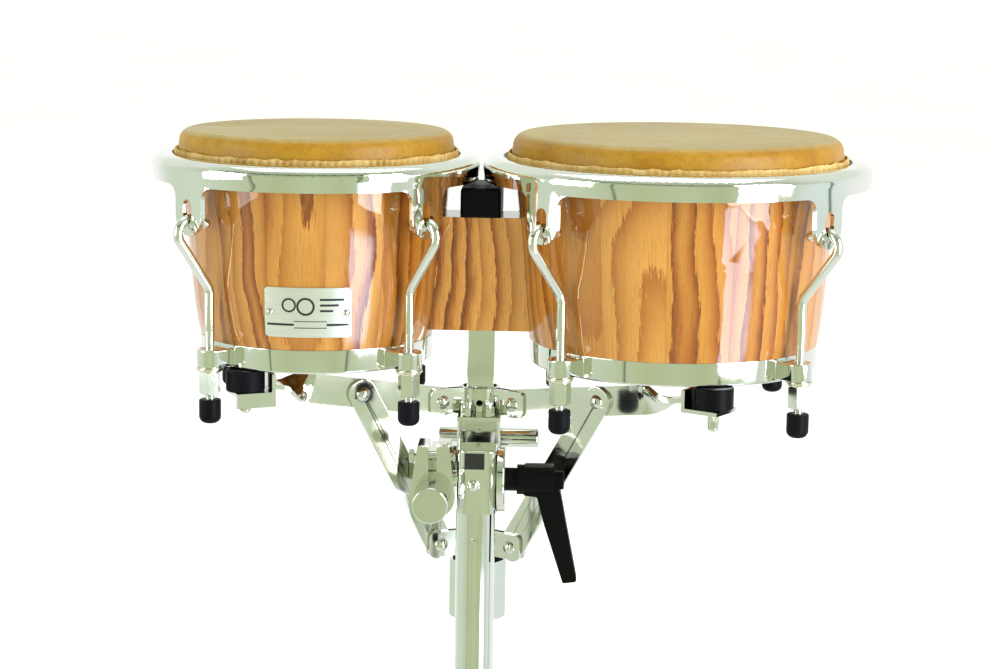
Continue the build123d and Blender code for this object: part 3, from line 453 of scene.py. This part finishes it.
# the free edge of the skin, gathered into pleats between the head and the rim
def skin_edge(tag, centre_v, pleats, depth, ragged):
    lo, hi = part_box(tag + "_skin_edge")
    r_out = (hi[0] - lo[0]) / 2
    head_r = r_out - 0.0036
    z_low, z_top = lo[2], hi[2]

    def profile(a):
        t = a / (2 * math.pi)
        w = t * pleats + 0.75 * smooth_noise(t, 29, 3.1)
        fold = 0.5 + 0.5 * math.cos(2 * math.pi * w)
        fold = fold ** 0.7
        amp = depth * (0.45 + 0.9 * smooth_noise(t, 47, 8.3))
        out = r_out - 0.0001 - amp * (1 - fold)
        top = z_top - ragged * (0.25 + 0.75 * smooth_noise(t, 90, 5.7)) - 0.0004 * smooth_noise(t, 400, 1.9)
        thick = 0.00125 + 0.0004 * smooth_noise(t, 61, 2.2)
        inner = max(out - thick, head_r + 0.0003)
        lean = 0.0007 * smooth_noise(t, 37, 6.6)
        return [(out, z_low), (out, z_low + 0.003), (out - lean * 0.5, top - 0.0012),
                (out - 0.0002 - lean, top - 0.0003), (out - 0.0005 - lean, top),
                (inner + 0.0001, top - 0.0001), (inner, top - 0.0008), (inner, z_low)]

    verts, faces = revolve_grid(profile, pleats * 14)
    verts = [(x + centre_v.x, y + centre_v.y, z) for x, y, z in verts]
    ob = mesh_piece(tag + "_pleated_edge", verts, faces, M["frill"], "tilting_head")
    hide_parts(tag + "_skin_edge")


skin_edge("small", SMALL_C, 118, 0.0011, 0.0012)
skin_edge("large", LARGE_C, 150, 0.00035, 0.0016)


# metres; the rods of the hooks are cut back to the threads' root
THREAD_PITCH = 0.001
THREAD_ROOT = 0.00282
THREAD_FLAT = 0.0029
THREAD_RISE = 0.00036
THREAD_HALF = 0.00042
THREAD_STEPS = 20


# threads on the hook rods, where they show above the bosses and below the nuts
def threads(tag):
    verts, faces = [], []
    for i in range(4):
        c = centre("%s_nut_%d" % (tag, i + 1))
        boss_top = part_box(tag + "_bottom_ring")[1][2] - 0.0016
        nut_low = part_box("%s_nut_%d" % (tag, i + 1))[0][2]
        tip_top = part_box(tag + "_hook_tips")[1][2]
        for z0, z1 in ((boss_top - 0.001, boss_top + 0.0115), (tip_top - 0.0004, nut_low + 0.0006)):
            turns = (z1 - z0) / THREAD_PITCH
            total = int(turns * THREAD_STEPS)
            base = len(verts)
            for k in range(total + 1):
                a = 2 * math.pi * k / THREAD_STEPS
                z = z0 + (z1 - z0) * k / total
                ends = min(1.0, k / THREAD_STEPS, (total - k) / THREAD_STEPS)
                crest = THREAD_FLAT + THREAD_RISE * ends
                for r, dz in ((THREAD_ROOT, -THREAD_HALF), (crest, 0.0), (THREAD_ROOT, THREAD_HALF)):
                    verts.append((c.x + r * math.cos(a), c.y + r * math.sin(a), z + dz))
            for k in range(total):
                for m in range(2):
                    p = base + k * 3 + m
                    faces.append((p, p + 3, p + 4, p + 1))
    mesh_piece(tag + "_rod_threads", verts, faces, M["chrome_nut"], tag + "_rim_set")


threads("small")
threads("large")


INK_LIFT = 0.00012   # metres above the plate


# plain ornament on the badge: a dark rule with a blank plaque, a ring pair and three bars
def badge_art():
    lo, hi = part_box("badge_plate")
    cz = (lo[2] + hi[2]) / 2
    bx = (lo[0] + hi[0]) / 2
    pts = [v.co for v in NODES["badge_plate"].data.vertices]

    def from_axis(p):
        return ((p.x - SMALL_C.x) ** 2 + (p.y - SMALL_C.y) ** 2) ** 0.5

    top_r = max(from_axis(p) for p in pts if p.z > hi[2] - 0.002)
    low_r = max(from_axis(p) for p in pts if p.z < lo[2] + 0.002)

    def radius_at(z):
        # the plate's face leans with the shell and bellies out a little between its ends
        k = (hi[2] - z) / (hi[2] - lo[2])
        return top_r + (low_r - top_r) * k + 0.00045 * 4 * k * (1 - k) * 0.35

    def on_plate(u, v):
        z = cz + v
        r = radius_at(z) + INK_LIFT
        x = bx + u
        dx = x - SMALL_C.x
        return (x, SMALL_C.y - math.sqrt(max(r * r - dx * dx, 0.0)), z)

    verts, faces = [], []

    def strip(u0, u1, v0, v1):
        steps = max(2, int((u1 - u0) / 0.0015))
        base = len(verts)
        for i in range(steps + 1):
            u = u0 + (u1 - u0) * i / steps
            for v in (v0, v1):
                verts.append(on_plate(u, v))
        for i in range(steps):
            p = base + i * 2
            faces.append((p, p + 2, p + 3, p + 1))

    def hoop(cu, cv, r0, r1):
        base = len(verts)
        n = 40
        for i in range(n):
            a = 2 * math.pi * i / n
            verts.append(on_plate(cu + r0 * math.cos(a), cv + r0 * math.sin(a)))
            verts.append(on_plate(cu + r1 * math.cos(a), cv + r1 * math.sin(a)))
        for i in range(n):
            p = base + i * 2
            q = base + ((i + 1) % n) * 2
            faces.append((p, q, q + 1, p + 1))

    strip(-0.0255, -0.0085, -0.0084, -0.0070)
    strip(0.0120, 0.0255, -0.0084, -0.0070)
    hoop(-0.0115, 0.0048, 0.0034, 0.0046)
    hoop(-0.0010, 0.0040, 0.0044, 0.0058)
    for k, w in enumerate((0.0150, 0.0115, 0.0080)):
        strip(0.0080, 0.0080 + w, 0.0078 - k * 0.0036, 0.0092 - k * 0.0036)
    strip(-0.0085, 0.0120, -0.0100, -0.0095)
    strip(-0.0085, 0.0120, -0.0058, -0.0053)
    mesh_piece("badge_ornament", verts, faces, M["badge_ink"], "tilting_head", smooth=False)


badge_art()


# ---------------------------------------------------------------- floor, light, camera
def stage_floor():
    n, half = 24, 40.0
    verts, faces = [], []
    for j in range(n + 1):
        for i in range(n + 1):
            verts.append((-half + 2 * half * i / n, -half + 2 * half * j / n, -0.0006))
    for j in range(n):
        for i in range(n):
            p = j * (n + 1) + i
            faces.append((p, p + 1, p + n + 2, p + n + 1))
    me = bpy.data.meshes.new("floor")
    me.from_pydata(verts, [], faces)
    s = Shader("pale_floor")
    tone = s.noise(s.coord, 1.5, 2.0, 0.5)
    s.set(Base_Color=s.ramp(tone, [(0.3, (0.80, 0.80, 0.79)), (0.7, (0.83, 0.83, 0.825))]),
          Roughness=s.ramp(tone, [(0.3, 0.8), (0.7, 0.9)]))
    s.set(Emission_Color=(1.0, 1.0, 0.99, 1.0), Emission_Strength=0.50)
    me.materials.append(s.mat)
    ob = bpy.data.objects.new("floor", me)
    scene.collection.objects.link(ob)
    ob.visible_glossy = False


stage_floor()


def area(name, place, target, sx, sy, power, col=(1, 1, 1)):
    li = bpy.data.lights.new(name, "AREA")
    li.shape = "RECTANGLE"
    li.size, li.size_y = sx, sy
    li.energy = power
    li.color = col
    ob = bpy.data.objects.new(name, li)
    scene.collection.objects.link(ob)
    ob.location = place
    ob.rotation_euler = (target - place).to_track_quat("-Z", "Y").to_euler()


MID = Vector((0.0088, 0.045, 0.30))
# tall soft panels left and right of the camera, and one overhead
area("panel_right", MID + Vector((0.92, -0.74, 0.33)), MID + Vector((0.10, -0.30, 0.30)), 0.64, 1.10, 18.0,
     (0.98, 0.97, 1.0))
area("panel_left", MID + Vector((-1.30, -0.72, 0.33)), MID + Vector((-0.10, -0.30, 0.30)), 0.80, 1.10, 9.0,
     (1.0, 0.98, 0.99))
area("top_soft", MID + Vector((0.0, 0.20, 1.60)), MID, 1.7, 1.2, 9.0)

world = bpy.data.worlds.new("studio")
scene.world = world
world.use_nodes = True
wt = world.node_tree
wt.nodes.clear()


def wnode(kind, **props):
    n = wt.nodes.new(kind)
    for k, v in props.items():
        setattr(n, k, v)
    return n


def wput(socket, value):
    if isinstance(value, bpy.types.NodeSocket):
        wt.links.new(value, socket)
    else:
        socket.default_value = value


def wmath(op, a, b):
    n = wnode("ShaderNodeMath", operation=op)
    wput(n.inputs[0], a)
    wput(n.inputs[1], b)
    return n.outputs[0]


def wramp(fac, stops, interpolation="LINEAR"):
    n = wnode("ShaderNodeValToRGB")
    n.color_ramp.interpolation = interpolation
    e = n.color_ramp.elements
    while len(e) < len(stops):
        e.new(0.5)
    for item, (pos, col) in zip(e, stops):
        item.position = pos
        item.color = (*col, 1.0)
    wt.links.new(fac, n.inputs[0])
    return n.outputs[0]


def wmix(fac, a, b):
    n = wnode("ShaderNodeMix", data_type="RGBA")
    wput(n.inputs[0], fac)
    wput(n.inputs[6], a)
    wput(n.inputs[7], b)
    return n.outputs[2]


w_dir = wnode("ShaderNodeTexCoord").outputs["Generated"]
w_sep = wnode("ShaderNodeSeparateXYZ")
wt.links.new(w_dir, w_sep.inputs[0])
dx, dy, dz = w_sep.outputs
# bearing round the drums: 0.5 is the camera's side of the room, 0 and 1 are behind the drums
bearing = wmath("ADD", wmath("DIVIDE", wmath("ARCTAN2", dx, wmath("MULTIPLY", dy, -1.0)), 2 * math.pi), 0.5)
WHITE, SAGE, PALE, DARK = (1.05, 1.06, 1.03), (0.60, 0.69, 0.45), (0.88, 0.94, 0.83), (0.16, 0.20, 0.12)
OLIVE, GROUND = (0.56, 0.63, 0.37), (0.92, 0.96, 0.87)
PALE_LEFT, PALE_RIGHT = (0.74, 0.84, 0.69), (0.84, 0.94, 0.90)
NEAR_LEFT, NEAR_RIGHT = (0.70, 0.78, 0.60), (0.72, 0.80, 0.64)
LOFT_FRONT, LOFT_SIDE = (0.44, 0.52, 0.33), (0.52, 0.60, 0.43)
CEILING, BEAM, PAPER = (0.60, 0.65, 0.53), (0.05, 0.06, 0.04), (6.0, 6.9, 8.8)
OFF, ON = (0, 0, 0), (1, 1, 1)


def at(deg):
    # the ramps' place of a bearing, in degrees to the right of the camera's side
    return 0.5 + deg / 360.0


# the thin dark lines are the gaps between the studio's boards
walls = wramp(bearing, [
    (0.0, WHITE), (at(-140), WHITE), (at(-115), PALE_LEFT), (at(-84), PALE_LEFT), (at(-68), NEAR_LEFT),
    (at(-41.0), SAGE), (at(-40.2), DARK), (at(-39.0), DARK), (at(-38.0), SAGE), (at(-22), OLIVE),
    (at(2), SAGE), (at(24), OLIVE), (at(34.0), SAGE), (at(35.0), DARK), (at(36.2), DARK), (at(37.0), SAGE),
    (at(68), NEAR_RIGHT), (at(82), PALE_RIGHT), (at(97.0), PALE_RIGHT), (at(98.0), DARK), (at(99.5), DARK),
    (at(100.5), PALE_RIGHT), (at(125), WHITE), (1.0, WHITE)])
loft = wramp(bearing, [
    (0.0, PALE), (at(-120), PALE), (at(-70), LOFT_SIDE), (at(-20), LOFT_FRONT), (at(20), LOFT_FRONT),
    (at(70), LOFT_SIDE), (at(120), PALE), (1.0, PALE)])
room = wmix(wramp(dz, [(0.16, OFF), (0.42, ON)], "EASE"), walls, loft)
room = wmix(wramp(dz, [(0.70, OFF), (0.95, ON)]), room, (*CEILING, 1))
# the dark edge of the ceiling, on the camera's side only
ahead = wramp(bearing, [(at(-80), OFF), (at(-70), ON), (at(70), ON), (at(80), OFF)])
beam = wramp(dz, [(0.53, OFF), (0.55, ON), (0.62, ON), (0.64, OFF)])
room = wmix(wmath("MULTIPLY", ahead, beam), room, (*BEAM, 1))
drop = wmath("MULTIPLY", dz, -1.0)
room = wmix(wramp(drop, [(0.38, OFF), (0.85, ON)], "EASE"), room, (*GROUND, 1))
# the lit paper below the right panel, which carries its streak down the lacquer
spot = wramp(bearing, [(at(35), OFF), (at(36.5), ON), (at(56), ON), (at(60), OFF)])
band = wramp(drop, [(0.272, OFF), (0.29, ON), (0.50, ON), (0.60, OFF)])
room = wmix(wmath("MULTIPLY", spot, band), room, (*PAPER, 1))
w_bg = wnode("ShaderNodeBackground")
wt.links.new(room, w_bg.inputs[0])
w_bg.inputs[1].default_value = 1.0
w_out = wnode("ShaderNodeOutputWorld")
wt.links.new(w_bg.outputs[0], w_out.inputs[0])

scene.view_settings.view_transform = "Standard"
scene.view_settings.look = "None"
scene.view_settings.exposure = 0.0

# camera: a short telephoto in front of the drums, a little to the right and above, pitched down
YAW, PITCH, ROLL = math.radians(1.944), math.radians(9.83), math.radians(0.806)
fwd = Vector((-math.sin(YAW) * math.cos(PITCH), math.cos(YAW) * math.cos(PITCH), -math.sin(PITCH)))
right = Vector((math.cos(YAW), math.sin(YAW), 0.0))
up = right.cross(fwd)
r2 = right * math.cos(ROLL) + up * math.sin(ROLL)
u2 = up * math.cos(ROLL) - right * math.sin(ROLL)
mid_x = (SMALL_C.x + LARGE_C.x) / 2
eye = Vector((mid_x + 0.0544, SMALL_C.y - 1.4912, HEAD_Z + 0.1248))   # 1.49 m in front, 0.12 m above the heads
cam = bpy.data.cameras.new("camera")
cam.lens = 82.78
cam.sensor_width = 36.0
cam.clip_start = 0.05
cam_ob = bpy.data.objects.new("camera", cam)
scene.collection.objects.link(cam_ob)
cam_ob.matrix_world = Matrix(((r2.x, u2.x, -fwd.x, eye.x), (r2.y, u2.y, -fwd.y, eye.y),
                              (r2.z, u2.z, -fwd.z, eye.z), (0, 0, 0, 1)))
scene.camera = cam_ob
